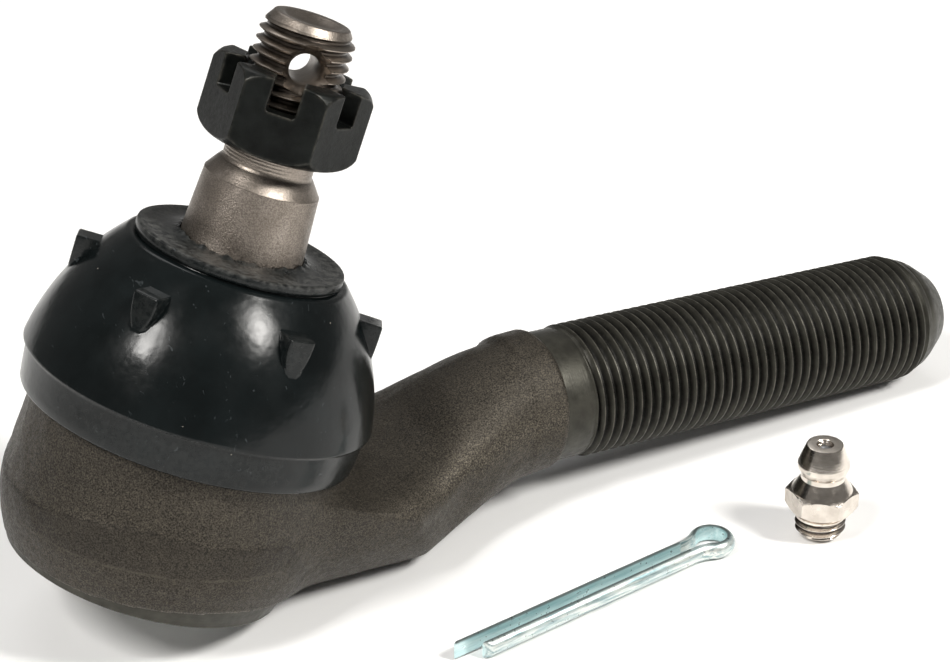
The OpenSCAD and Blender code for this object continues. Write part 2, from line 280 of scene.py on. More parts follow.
class Paint:
    """A procedural material: a Principled shader and the nodes that feed it."""

    def __init__(self, name, metallic=0.0, **inputs):
        self.material = bpy.data.materials.new(name)
        self.material.use_nodes = True
        self.nodes = self.material.node_tree.nodes
        self.links = self.material.node_tree.links
        self.shader = self.nodes["Principled BSDF"]
        self.shader.inputs["Metallic"].default_value = metallic
        for key, value in inputs.items():
            self.shader.inputs[key.replace("_", " ")].default_value = value
        self.place = self.nodes.new("ShaderNodeTexCoord").outputs["Object"]

    def stretch(self, matrix, scale=(1, 1, 1)):
        """Object coordinates turned into a frame's own axes, then scaled along them."""
        turn = self.nodes.new("ShaderNodeMapping")
        turn.vector_type = "POINT"
        inverse = matrix.to_3x3().normalized().inverted()
        turn.inputs["Rotation"].default_value = inverse.to_euler()
        self.links.new(self.place, turn.inputs["Vector"])
        size = self.nodes.new("ShaderNodeMapping")
        size.vector_type = "POINT"
        size.inputs["Scale"].default_value = scale
        self.links.new(turn.outputs[0], size.inputs["Vector"])
        return size.outputs[0]

    def noise(self, size, detail=3.0, roughness=0.55, where=None, distortion=0.0):
        """Noise whose blobs are about this many millimetres across."""
        node = self.nodes.new("ShaderNodeTexNoise")
        node.inputs["Scale"].default_value = 1 / (size * MM)
        node.inputs["Detail"].default_value = detail
        node.inputs["Roughness"].default_value = roughness
        node.inputs["Distortion"].default_value = distortion
        self.links.new(where or self.place, node.inputs["Vector"])
        return node.outputs["Fac"]

    def cells(self, size, feature="F1", where=None):
        node = self.nodes.new("ShaderNodeTexVoronoi")
        node.feature = feature
        node.inputs["Scale"].default_value = 1 / (size * MM)
        self.links.new(where or self.place, node.inputs["Vector"])
        return node

    def attribute(self, name):
        node = self.nodes.new("ShaderNodeAttribute")
        node.attribute_name = name
        return node.outputs["Fac"]

    def range(self, value, low, high, to_low=0.0, to_high=1.0):
        node = self.nodes.new("ShaderNodeMapRange")
        node.clamp = True
        for key, number in (("From Min", low), ("From Max", high),
                            ("To Min", to_low), ("To Max", to_high)):
            node.inputs[key].default_value = number
        self.links.new(value, node.inputs["Value"])
        return node.outputs["Result"]

    def maths(self, operation, a, b):
        node = self.nodes.new("ShaderNodeMath")
        node.operation = operation
        for socket, value in zip(node.inputs, (a, b)):
            if isinstance(value, (int, float)):
                socket.default_value = value
            else:
                self.links.new(value, socket)
        return node.outputs[0]

    def mix(self, factor, a, b):
        """Colour between a and b, each a colour or another node's output."""
        node = self.nodes.new("ShaderNodeMix")
        node.data_type = "RGBA"
        self.links.new(factor, node.inputs["Factor"])
        for socket, value in ((node.inputs[6], a), (node.inputs[7], b)):
            if isinstance(value, tuple):
                socket.default_value = (*value, 1)
            else:
                self.links.new(value, socket)
        return node.outputs[2]

    def between(self, factor, a, b):
        """Number between two outputs."""
        node = self.nodes.new("ShaderNodeMix")
        for socket, value in ((0, factor), (2, a), (3, b)):
            self.links.new(value, node.inputs[socket])
        return node.outputs[0]

    def bump(self, height, depth, strength=1.0, under=None):
        """Bump whose full height is this many millimetres."""
        node = self.nodes.new("ShaderNodeBump")
        node.inputs["Strength"].default_value = strength
        node.inputs["Distance"].default_value = depth * MM
        self.links.new(height, node.inputs["Height"])
        if under is not None:
            self.links.new(under, node.inputs["Normal"])
        return node.outputs["Normal"]

    def set(self, key, output):
        self.links.new(output, self.shader.inputs[key])


def forged_steel():
    m = Paint("forged_steel", metallic=0.5, Specular_IOR_Level=0.35)
    bare_edge_and_highlight, part = m.attribute("bare_edge_and_highlight"), m.attribute("part")
    skin = m.mix(m.range(m.noise(6, 4), 0.35, 0.65), (0.0185, 0.0156, 0.0119), (0.036, 0.0308, 0.0238))
    grit = m.mix(m.range(m.noise(0.19, 3, 0.7), 0.40, 0.62), (0.0045, 0.0039, 0.0031), (0.114, 0.098, 0.075))
    scale = m.mix(m.range(m.noise(0.9, 4, 0.7), 0.3, 0.7, 0.42, 0.80), skin, grit)
    # Below the parting line the skin is a little darker, and a ragged dark line of painted shade marks the step
    rough_part = m.maths("ADD", part, m.range(m.noise(0.8, 4), 0.3, 0.7, -0.25, 0.25))
    rough_seam = m.maths("ADD", m.attribute("seam"), m.range(m.noise(0.8, 4), 0.3, 0.7, -0.2, 0.2))
    shade = m.maths("MULTIPLY", m.range(rough_part, 0.1, -0.1), m.range(rough_seam, 0.0, 0.1, 0.12, 0.30))
    scale = m.mix(shade, scale, (0.012, 0.010, 0.008))
    seam = m.range(m.maths("ABSOLUTE", rough_seam, 0), 0.22, 0.06, 0, 0.45)
    scale = m.mix(m.maths("MULTIPLY", seam, m.range(m.noise(2, 2), 0.35, 0.6)), scale, (0.085, 0.075, 0.058))
    # Painted shade: a ragged dark line along the step
    line = m.range(m.maths("ABSOLUTE", rough_part, 0), 0.16, 0.05, 0, 0.7)
    scale = m.mix(m.maths("MULTIPLY", line, m.range(m.noise(3, 2), 0.4, 0.6)), scale, (0.006, 0.005, 0.004))
    # Bright flecks: bare trimmed metal at the rim's edge, and a painted highlight along the arm's upper front
    # shoulder
    bare_and_highlight_flecks = m.maths("MULTIPLY", bare_edge_and_highlight, m.range(m.noise(0.2, 2), 0.5, 0.66))
    m.set("Base Color", m.mix(bare_and_highlight_flecks, scale, (0.20, 0.175, 0.135)))
    m.set("Roughness", m.range(m.noise(0.5, 4), 0.3, 0.7, 0.38, 0.60))
    pits = m.bump(m.noise(0.19, 3, 0.7), 0.07)
    dents = m.bump(m.noise(1.5, 3), 0.085, under=pits)
    m.set("Normal", m.bump(m.noise(4.5, 2), 0.16, under=dents))
    return m.material


def machined_steel(name, turned_about):
    """Turned and phosphated steel, with fine marks round one frame's axis."""
    m = Paint(name, metallic=0.6, Specular_IOR_Level=0.35)
    rings = m.noise(0.2, 2, where=m.stretch(turned_about, (0.05, 0.05, 1)))
    groove = m.attribute("groove")
    tint = m.mix(m.range(m.noise(2.2, 4), 0.35, 0.65), (0.034, 0.0325, 0.0265), (0.056, 0.054, 0.044))
    rubbed = m.maths("MULTIPLY", m.range(groove, 0.10, 0.0), m.range(m.noise(1.2, 4), 0.42, 0.62, 0.1, 1))
    crest = m.mix(rubbed, tint, (0.105, 0.100, 0.083))
    # Painted shade: the thread roots are painted near black
    root_shade = m.mix(m.range(m.noise(0.5, 4), 0.4, 0.6), (0.0045, 0.0042, 0.0036), (0.012, 0.011, 0.009))
    m.set("Base Color", m.mix(m.range(groove, 0.3, 0.8), crest, root_shade))
    m.set("Roughness", m.range(m.noise(0.8, 3), 0.3, 0.7, 0.34, 0.52))
    fine = m.bump(rings, 0.012)
    m.set("Normal", m.bump(m.noise(0.3, 3), 0.018, under=fine))
    return m.material


def boot_rubber():
    m = Paint("boot_rubber", Specular_IOR_Level=0.26)
    matt = m.attribute("matt")
    dust = m.cells(2.6)
    speck = m.range(dust.outputs["Distance"], 0.035, 0.02)
    chosen = m.range(m.noise(3.1, 1), 0.52, 0.56)
    specks = m.maths("MULTIPLY", speck, chosen)
    scratch_way = m.stretch(JOINT, (1.0, 0.16, 0.7))
    scratches = m.range(m.noise(0.55, 2, where=scratch_way, distortion=1.2), 0.705, 0.74)
    haze = m.range(m.noise(7, 4), 0.4, 0.7)
    base = m.mix(haze, (0.0028, 0.0042, 0.0044), (0.0062, 0.0085, 0.0090))
    dull_skin = m.mix(m.range(m.noise(0.8, 4, 0.7), 0.4, 0.62),
                       (0.0045, 0.0053, 0.0057), (0.060, 0.061, 0.058))
    body = m.mix(matt, base, dull_skin)
    scuffed = m.mix(m.maths("MULTIPLY", scratches, 0.35), body, (0.07, 0.08, 0.085))
    m.set("Base Color", m.mix(specks, scuffed, (0.42, 0.38, 0.32)))
    gloss = m.range(m.noise(4, 4), 0.3, 0.7, 0.14, 0.26)
    dull = m.range(m.noise(0.8, 3), 0.3, 0.7, 0.38, 0.55)
    m.set("Roughness", m.between(matt, gloss, dull))
    fine = m.bump(m.noise(0.5, 3), 0.005)
    wave = m.bump(m.noise(5, 3), 0.09, under=fine)
    m.set("Normal", m.bump(m.maths("MULTIPLY", matt, m.noise(0.3, 3)), 0.035, under=wave))
    return m.material


def stud_steel():
    m = Paint("stud_steel", metallic=1.0)
    groove = m.attribute("groove")
    blast = m.attribute("blast")
    base = m.mix(m.range(m.noise(3, 4), 0.35, 0.65), (0.27, 0.234, 0.200), (0.365, 0.322, 0.282))
    grain = m.mix(m.maths("MULTIPLY", blast, m.range(m.noise(0.18, 3), 0.4, 0.6, 0.65, 0.0)),
                  base, (0.125, 0.107, 0.092))
    # Painted shade: the thread's grooves are painted dark brown
    m.set("Base Color", m.mix(m.range(groove, 0.45, 0.95), grain, (0.060, 0.050, 0.042)))
    shiny = m.range(m.noise(0.7, 3), 0.3, 0.7, 0.26, 0.38)
    m.set("Roughness", m.between(blast, shiny, m.range(m.noise(0.5, 3), 0.3, 0.7, 0.36, 0.48)))
    rings = m.noise(0.16, 2, where=m.stretch(JOINT, (0.04, 0.04, 1)))
    turned_marks = m.bump(rings, 0.010)
    m.set("Normal", m.bump(m.maths("MULTIPLY", blast, m.noise(0.18, 3)), 0.055, under=turned_marks))
    return m.material


def black_oxide():
    m = Paint("black_oxide", metallic=0.5, Specular_IOR_Level=0.3)
    edge = m.attribute("edge")
    base = m.mix(m.range(m.noise(2.5, 4), 0.35, 0.65), (0.0036, 0.0044, 0.0040), (0.0086, 0.0102, 0.0094))
    worn = m.maths("MULTIPLY", edge, m.range(m.noise(0.8, 4), 0.35, 0.6))
    m.set("Base Color", m.mix(worn, base, (0.082, 0.077, 0.065)))
    m.set("Roughness", m.range(m.noise(0.5, 4), 0.3, 0.7, 0.30, 0.46))
    fine = m.bump(m.noise(0.22, 4), 0.016)
    m.set("Normal", m.bump(m.noise(1.8, 2), 0.03, under=fine))
    return m.material


def zinc_plate():
    m = Paint("zinc_plate", metallic=0.7)
    streaks = m.noise(0.35, 3, where=m.stretch(PIN, (0.08, 1, 1)))
    tint = m.mix(m.range(m.noise(3.5, 2), 0.38, 0.62), (0.58, 0.66, 0.66), (0.76, 0.79, 0.75))
    inside, corner = m.attribute("inside"), m.attribute("corner")
    streaked = m.mix(m.range(streaks, 0.42, 0.66), tint, (0.24, 0.35, 0.37))
    # Painted reflection: the inner flat is painted light teal, as the other leg seen in it
    flat = m.mix(m.range(streaks, 0.3, 0.7), (0.40, 0.60, 0.62), (0.66, 0.80, 0.80))
    # Painted shade: the corners of the flat are painted as dark lines
    m.set("Base Color", m.mix(corner, m.mix(inside, streaked, flat), (0.16, 0.20, 0.20)))
    m.set("Roughness", m.range(m.noise(0.6, 3), 0.3, 0.7, 0.26, 0.40))
    fine = m.bump(m.maths("MULTIPLY", m.range(inside, 0, 1, 1, 0.2), streaks), 0.02)
    m.set("Normal", m.bump(m.noise(0.5, 3), 0.012, under=fine))
    return m.material


def nickel_plate():
    m = Paint("nickel_plate", metallic=1.0)
    rings = m.noise(0.12, 2, where=m.stretch(FITTING, (0.04, 0.04, 1)))
    tint = m.mix(m.range(m.noise(2, 3), 0.35, 0.65), (0.60, 0.545, 0.485), (0.78, 0.72, 0.65))
    # Painted shade: the thread's grooves are painted dark
    m.set("Base Color", m.mix(m.range(m.attribute("groove"), 0.4, 1.0), tint, (0.12, 0.105, 0.095)))
    face = m.attribute("face")
    turned_skin = m.range(m.noise(0.7, 3), 0.3, 0.7, 0.12, 0.22)
    m.set("Roughness", m.between(face, turned_skin, m.range(m.noise(0.3, 3), 0.3, 0.7, 0.30, 0.42)))
    fine = m.bump(rings, 0.014)
    m.set("Normal", m.bump(m.maths("MULTIPLY", face, m.noise(0.25, 3)), 0.05, under=fine))
    return m.material


def plain_metal(name, dark, light, roughness, grain=0.4):
    """A worked steel surface for the inner pieces, between two tones."""
    m = Paint(name, metallic=1.0)
    m.set("Base Color", m.mix(m.range(m.noise(2.5, 4), 0.35, 0.65), dark, light))
    m.set("Roughness", m.range(m.noise(0.7, 3), 0.3, 0.7, roughness, roughness + 0.15))
    m.set("Normal", m.bump(m.noise(grain, 3), 0.02))
    return m.material


FORGED = forged_steel()
MACHINED = machined_steel("machined_shank", SHANK)
TURNED_RIM = machined_steel("turned_rim", JOINT)
RUBBER = boot_rubber()
STUD = stud_steel()
OXIDE = black_oxide()
ZINC = zinc_plate()
NICKEL = nickel_plate()
IRON = plain_metal("bearing_iron", (0.30, 0.30, 0.31), (0.45, 0.45, 0.46), 0.3)
SPRING = plain_metal("spring_steel", (0.10, 0.12, 0.17), (0.22, 0.24, 0.28), 0.3)
PLATED = plain_metal("plated_steel", (0.42, 0.43, 0.42), (0.60, 0.60, 0.58), 0.28)


# ---------------------------------------------------------------- dust boot

CREASE_R, CREASE_Z = 21.1, 9.5
LIP_R, LIP_TOP, LIP_H = 12.45, 26.55, 1.2
DOME_CENTRE = (-7.4, 4.75)
LUG_FACE, LUG_TOP, LUG_BOTTOM, LUG_HALF = 18.35, 22.3, 17.7, 1.7
LUGS = [30, 90, 150, 211.4, 270, 330]


def stud_radius(z):
    """Radius of the stud's 1 in 8 taper at a height."""
    return 6.82 + (34.5 - z) * 0.0625


def boot_outline():
    """Outline (radius, height) round the rubber's section: outside up, over the lip, back down."""
    dome_r = math.hypot(CREASE_R - DOME_CENTRE[0], CREASE_Z - DOME_CENTRE[1])
    low = math.degrees(math.atan2(CREASE_Z + 0.25 - DOME_CENTRE[1], CREASE_R - DOME_CENTRE[0]))
    skirt = [(18.8, 4.40), (19.75, 4.37), (20.05, 4.45), (20.2, 4.7), (20.3, 5.6), (20.45, 7.2),
             (20.6, 8.8), (20.66, 9.10), (20.78, 9.22), (20.98, 9.28), (21.08, 9.36), (21.1, 9.5)]
    dome = arc(DOME_CENTRE, dome_r, low, 43.2, 64)
    under = [(13.42, 24.79), (13.3, 24.93), (13.14, 25.03), (12.95, 25.08), (12.6, 25.1), (12.15, 25.1)]
    rim = [(12.1, 25.2), (12.2, 25.27), (LIP_R - 0.08, 25.3), (LIP_R, 25.4), (LIP_R, LIP_TOP - 0.5),
           (LIP_R - 0.08, LIP_TOP - 0.2), (LIP_R - 0.35, LIP_TOP - 0.08)]
    hole = stud_radius(LIP_TOP) + 0.06
    face = [(r, LIP_TOP - 0.08 - 0.22 * math.sin(math.pi * (r - 8) / 4.2) * (r > 8)) for r in
            (11.4, 10.9, 10.4, 9.9, 9.4, 8.9, 8.4)]
    bead = [(hole + 0.55, LIP_TOP - 0.05), (hole + 0.3, LIP_TOP), (hole + 0.08, LIP_TOP),
            (hole, LIP_TOP - 0.15)]
    inside = [(stud_radius(20.6) + 0.06, 20.6), (stud_radius(20.6) + 1.5, 20.6),
              (stud_radius(20.6) + 1.6, 22.6)]
    inner = arc(DOME_CENTRE, dome_r - 1.5, 40, low + 2, 24)
    seat = [(18.6, 9.1), (18.46, 8.9), (18.46, 7.3), (17.75, 7.0), (17.75, 6.2), (18.46, 5.8),
            (18.46, 4.5)]
    return skirt + dome + under + rim + face + bead + inside + inner + seat


def dense_turns():
    """Angles round the boot in degrees, closer together at the sides of each lug."""
    near = [-8, -6.9, -6.4] + [-6.1 + 0.2 * k for k in range(24)] + [-1.2, -0.6, 0]
    near += [-a for a in reversed(near[:-1])]
    between = [11, 14, 17, 20, 23, 26, 30, 34, 37, 40, 43, 46, 49]
    return np.array([lug + a for lug in LUGS for a in near + between] + [LUGS[0] + 360 + near[0]])


def dust_boot():
    outline = np.array(boot_outline())
    crowded = [LUG_TOP - 0.42, LUG_TOP - 0.3, LUG_TOP - 0.2, LUG_TOP - 0.12, LUG_TOP - 0.05,
               LUG_TOP, LUG_TOP + 0.05, LUG_TOP + 0.12]
    first_dome, last_dome = 12, 12 + 64
    dome = outline[first_dome:last_dome + 1]
    heights = np.sort(np.concatenate([dome[:, 1], crowded]))
    dome_r = np.interp(heights, dome[:, 1], dome[:, 0])
    outline = np.concatenate([outline[:first_dome], np.stack([dome_r, heights], -1),
                              outline[last_dome + 1:]])
    outline = np.concatenate([outline, outline[:1]])
    turn = np.radians(dense_turns())[None, :]
    radius = outline[:, :1] + 0 * turn
    height = outline[:, 1:] + 0 * turn
    row = np.arange(len(outline))[:, None]
    on_dome = (row >= first_dome) & (row < first_dome + len(heights))
    for lug in LUGS:
        swing = (turn - math.radians(lug) + math.pi) % (2 * math.pi) - math.pi
        sideways = LUG_FACE * np.tan(np.clip(swing, -0.6, 0.6))
        fall = np.clip((LUG_TOP - height) / (LUG_TOP - LUG_BOTTOM), 0, 1)
        half = LUG_HALF * np.sqrt(1 - 0.98 * fall ** 2.2)
        side = np.abs(sideways) - half
        soft = 0.10 + 0.22 * smooth_step(0.6, 1.0, fall)
        mask = smooth_step(soft, -soft, side) * smooth_step(1.0, 0.9, fall)
        mask = mask * smooth_step(LUG_TOP + 0.04, LUG_TOP - 0.04, height)
        corner = 0.14 * smooth_step(LUG_TOP - 0.3, LUG_TOP, height) ** 2
        corner = corner + 0.14 * smooth_step(-0.45, 0, side) ** 2
        face = np.maximum((LUG_FACE - corner) / np.cos(swing), radius)
        radius = np.where(on_dome, radius + mask * (face - radius), radius)
    # Torn flash round the stud, and a faint unevenness of the moulded lip
    flash = 0.5 + 0.5 * np.sin(9 * turn + 1.3 * np.sin(4 * turn)) * np.sin(23 * turn + 0.7)
    near_stud = smooth_step(LIP_TOP - 0.3, LIP_TOP, height) * (outline[:, :1] < 7.9)
    height = height + near_stud * 0.55 * np.maximum(flash - 0.35, 0)
    radius = radius - near_stud * 0.05 * flash
    points = np.stack([radius * np.cos(turn), radius * np.sin(turn), height], -1)
    mesh = join_grids("boot", [points])
    co = coordinates(mesh)
    out = np.hypot(co[:, 0], co[:, 1])
    lip = 0.35 * smooth_step(LIP_TOP - LIP_H, LIP_TOP - LIP_H + 0.2, co[:, 2])
    lip = lip + 0.65 * smooth_step(LIP_TOP - 0.5, LIP_TOP - 0.3, co[:, 2])
    sheen = smooth_step(8.6, 10.2, out)
    skirt = 0.12 * smooth_step(CREASE_Z + 0.1, CREASE_Z - 0.2, co[:, 2])
    lug = 0.15 * smooth_step(0.25, 0.6, out - np.interp(co[:, 2], dome[:, 1], dome[:, 0]))
    lug = lug * (co[:, 2] > LUG_BOTTOM) * (co[:, 2] < LUG_TOP + 0.2)
    paint(mesh, "matt", np.clip(lip * (0.35 + 0.65 * sheen) + skirt + lug, 0, 1))
    piece = place(mesh, JOINT, "bearings", ("dust_boot", "boot_lip"), [RUBBER], 50)
    world = piece.matrix_world.copy()
    piece.parent = None
    piece.matrix_world = world
    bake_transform(piece)


# ---------------------------------------------------------------- ball stud

STUD_PITCH, STUD_MAJOR, STUD_DEPTH = 1.27, 5.556, 0.76
STUD_TOP = 54.0
HOLE_R, HOLE_Z, HOLE_TURN = 1.8, 48.9, -108.5


def ball_stud():
    ball_r, flat = 10.3, 8.6
    low = -math.degrees(math.asin(flat / ball_r))
    neck_r = 6.4
    high = math.degrees(math.acos(neck_r / ball_r))
    relief, thread_low, thread_high = 5.3, 38.3, 53.4
    body = [(0, -flat)] + arc((0, 0), ball_r, low, high, 48) + [
        (neck_r, 14.0), (neck_r + 0.4, 15.9), (stud_radius(18.5), 18.5),
        (stud_radius(26), 26), (stud_radius(30), 30), (stud_radius(34.2), 34.2),
        (stud_radius(34.4), 34.4), (6.77, 34.46), (6.1, 35.4), (5.58, 36.1), (5.52, 36.15),
        (5.4, 36.28)]
    body += [(relief + 0.02 * math.cos(2 * math.pi * k / 4), 36.5 + 0.1 * k) for k in range(17)]
    body += [(STUD_MAJOR - STUD_DEPTH, thread_low)]
    tip = [(STUD_MAJOR - STUD_DEPTH, thread_high), (4.52, 53.83), (4.46, 53.92), (4.37, 53.98),
           (4.28, STUD_TOP), (3.5, STUD_TOP - 0.02), (3.4, STUD_TOP - 0.06), (2.6, STUD_TOP - 0.5),
           (1.4, STUD_TOP - 0.72), (0, STUD_TOP - 0.8)]
    envelope = ([thread_low, thread_low + 0.5, 52.25, thread_high],
                [STUD_MAJOR - STUD_DEPTH, STUD_MAJOR, STUD_MAJOR, STUD_MAJOR - STUD_DEPTH])
    screw = thread(thread_low, thread_high, STUD_PITCH, STUD_MAJOR, STUD_DEPTH, envelope,
                   fade_low=0.3, fade_high=0.05)
    mesh = join_grids("stud", [turned(body), screw, turned(tip)])
    turn = Matrix.Rotation(math.radians(HOLE_TURN), 4, "Z") @ Matrix.Rotation(math.pi / 2, 4, "Y")
    flare = [(HOLE_R, 3.4), (1.86, 3.62), (3.3, 5.5), (4.9, 7.6), (0, 7.6)]
    flare = [(r, -h) for r, h in reversed(flare)] + flare
    drill = join_grids("drill", [turned(flare, 64)])
    drill.transform(Matrix.Translation((0, 0, HOLE_Z)) @ turn)
    mesh = carve(mesh, drill)
    co = coordinates(mesh)
    out = np.hypot(co[:, 0], co[:, 1])
    threaded = (co[:, 2] > thread_low) & (co[:, 2] < 53.2) & (out > 4.6)
    paint(mesh, "groove", np.where(threaded, (STUD_MAJOR - out) / STUD_DEPTH, 0).clip(0, 1))
    plain = smooth_step(38.3, 38.0, co[:, 2]) + smooth_step(52.2, 53.2, co[:, 2])
    paint(mesh, "blast", np.maximum(smooth_step(34.5, 34.4, co[:, 2]), 0.1 + 0.5 * plain))
    place(mesh, JOINT, "stud", ("ball_stud",), [STUD], 26)


# ---------------------------------------------------------------- castle nut

NUT_Z, NUT_H, NUT_FLATS, NUT_BORE = 38.5, 9.4, 16.5, 5.606
SLOT_W, SLOT_D = 3.35, 3.85
NUT_TURN = -4


def hexagon(flats, bottom, top):
    """Six-sided prism with its flats square to the axes at 0, 60, ... degrees."""
    corner = flats / math.sqrt(3)
    ring = [(corner * math.cos(a), corner * math.sin(a)) for a in
            (math.radians(30 + 60 * k) for k in range(6))]
    verts = [(x, y, z) for z in (bottom, top) for x, y in ring]
    faces = [tuple(range(5, -1, -1)), tuple(range(6, 12))]
    faces += [(k, (k + 1) % 6, (k + 1) % 6 + 6, k + 6) for k in range(6)]
    return weld("hexagon", verts, faces)


def slot_cutter():
    """Flat-bottomed slot with small rounds in its corners, from the middle outwards along +X."""
    half, floor = SLOT_W / 2, NUT_H - SLOT_D
    outline = [(-half, NUT_H + 1), (-half, floor + 0.35)]
    outline += [(-half + 0.35 - 0.35 * math.cos(a), floor + 0.35 - 0.35 * math.sin(a)) for a in
                np.radians([22, 45, 68, 90])]
    outline += [(-y, z) for y, z in reversed(outline)]
    verts = [(x, y, z) for x in (1.0, NUT_FLATS) for y, z in outline]
    count = len(outline)
    faces = [tuple(range(count - 1, -1, -1)), tuple(range(count, 2 * count))]
    faces += [(k, (k + 1) % count, (k + 1) % count + count, k + count) for k in range(count)]
    return weld("slot", verts, faces)


def castle_nut():
    corner = NUT_FLATS / math.sqrt(3)
    form = [(0, 0), (NUT_FLATS / 2 - 0.9, 0)] + arc((NUT_FLATS / 2 - 1.1, 2.6), 2.6, -78, -6, 10)
    form += [(corner + 0.1, 3.4), (corner + 0.1, NUT_H - 1.55), (corner - 0.08, NUT_H - 1.15),
             (corner - 0.4, NUT_H - 0.62), (corner - 0.75, NUT_H - 0.25), (corner - 1.1, NUT_H - 0.08),
             (corner - 1.5, NUT_H), (0, NUT_H)]
    mesh = carve(hexagon(NUT_FLATS, 0, NUT_H), join_grids("form", [turned(form, 120)]), "INTERSECT")
    for k in range(6):
        slot = slot_cutter()
        slot.transform(Matrix.Rotation(math.radians(60 * k), 4, "Z"))
        mesh = carve(mesh, slot)
    depth = 0.4
    screw = thread(-1.5, NUT_H + 1.5, STUD_PITCH, NUT_BORE + depth, depth, ([-2, 20], [9, 9]), 0.1, 0.1)
    mouth = [(NUT_BORE + depth, -1.5), (0, -1.5)]
    top = [(NUT_BORE + depth, NUT_H + 1.5), (0, NUT_H + 1.5)]
    bore = join_grids("bore", [turned(mouth), screw, turned(top)])
    mesh = carve(mesh, bore)
    mesh.name = "nut"
    mesh = remesh(mesh, 0.11, 3)
    paint(mesh, "edge", edge_wear(mesh, 2, 60))
    turn = Matrix.Translation((0, 0, NUT_Z)) @ Matrix.Rotation(math.radians(NUT_TURN), 4, "Z")
    place(mesh, JOINT @ turn, "nut", ("castle_nut",), [OXIDE], 60)


# ---------------------------------------------------------------- cotter pin

def cotter_path():
    """Points along the inner flat of the half-round wire."""
    gap, eye, join, spread = PIN_GAP, PIN_EYE, -6.6, 122
    rim = np.radians(np.linspace(-spread, spread, 49))
    circle = np.stack([eye * np.cos(rim), eye * np.sin(rim)], -1)
    last, way = circle[-1], Vector((-math.sin(rim[-1]), math.cos(rim[-1])))
    bend = []
    for t in np.linspace(0, 1, 22)[1:]:
        p = [np.array(last), np.array(last) + 1.9 * np.array(way), np.array((join + 2.2, gap)),
             np.array((join, gap))]
        bend.append((1 - t) ** 3 * p[0] + 3 * (1 - t) ** 2 * t * p[1]
                    + 3 * (1 - t) * t * t * p[2] + t ** 3 * p[3])
    bend = np.array(bend)
    long_leg = np.stack([np.linspace(join - 1, -PIN_LENGTH, 30), np.full(30, gap)], -1)
    short_leg = np.stack([np.linspace(join - 1, PIN_STEP - PIN_LENGTH, 28), np.full(28, gap)], -1)
    over = np.array([1, -1])
    return np.concatenate([(short_leg * over)[::-1], (bend * over)[::-1], circle, bend, long_leg])


def cotter_pin():
    path = cotter_path()
    way = np.gradient(path, axis=0)
    way /= np.linalg.norm(way, axis=1)[:, None]
    outward = np.stack([way[:, 1], -way[:, 0]], -1)
    half = np.radians(np.linspace(-84, 84, 15))
    section = [(0.0, -PIN_R + 0.28), (0.04, -PIN_R + 0.10)]
    section += [(PIN_R * math.cos(a), PIN_R * math.sin(a)) for a in half]
    section += [(0.04, PIN_R - 0.10), (0.0, PIN_R - 0.28), (0.0, 0.0)]
    section.append(section[0])
    section = np.array(section) * (0.9, 1)
    flat = path[:, None, :] + outward[:, None, :] * section[None, :, :1]
    points = np.concatenate([flat, np.broadcast_to(section[None, :, 1:], flat[..., :1].shape)], -1)
    # Ends cut off at a slant, each closed on its own middle and a little rounded
    ends = []
    for end, inner in ((0, 1), (-1, -2)):
        middle = points[end].mean(0)
        along = points[end].mean(0) - points[inner].mean(0)
        along /= np.linalg.norm(along)
        slant = along[None, :] * section[:, :1] * 0.95
        rim = middle + (points[end] - middle) * 0.9 - slant + along * 0.05
        points[end] = points[end] - slant - along * 0.08
        ends.append(np.stack([points[end], rim, np.broadcast_to(rim.mean(0), rim.shape)]))
    mesh = join_grids("cotter", [points] + ends)
    mesh.name = "split_pin"
    co = coordinates(mesh)
    out = np.where(co[:, 0] < -4.5, np.abs(co[:, 1]) - PIN_GAP, np.hypot(co[:, 0], co[:, 1]) - PIN_EYE)
    side = np.abs(co[:, 2]) / PIN_R
    # Mask for the painted reflection on the inner flat
    paint(mesh, "inside", smooth_step(0.10, 0.04, out) * smooth_step(0.99, 0.9, side))
    # Mask for the painted shade along the corners of the flat
    paint(mesh, "corner", smooth_step(0.86, 0.93, side) * smooth_step(0.5, 0.3, out))
    place(mesh, PIN, "cotter_pin", ("cotter_pin",), [ZINC], 38)


# ---------------------------------------------------------------- grease fitting

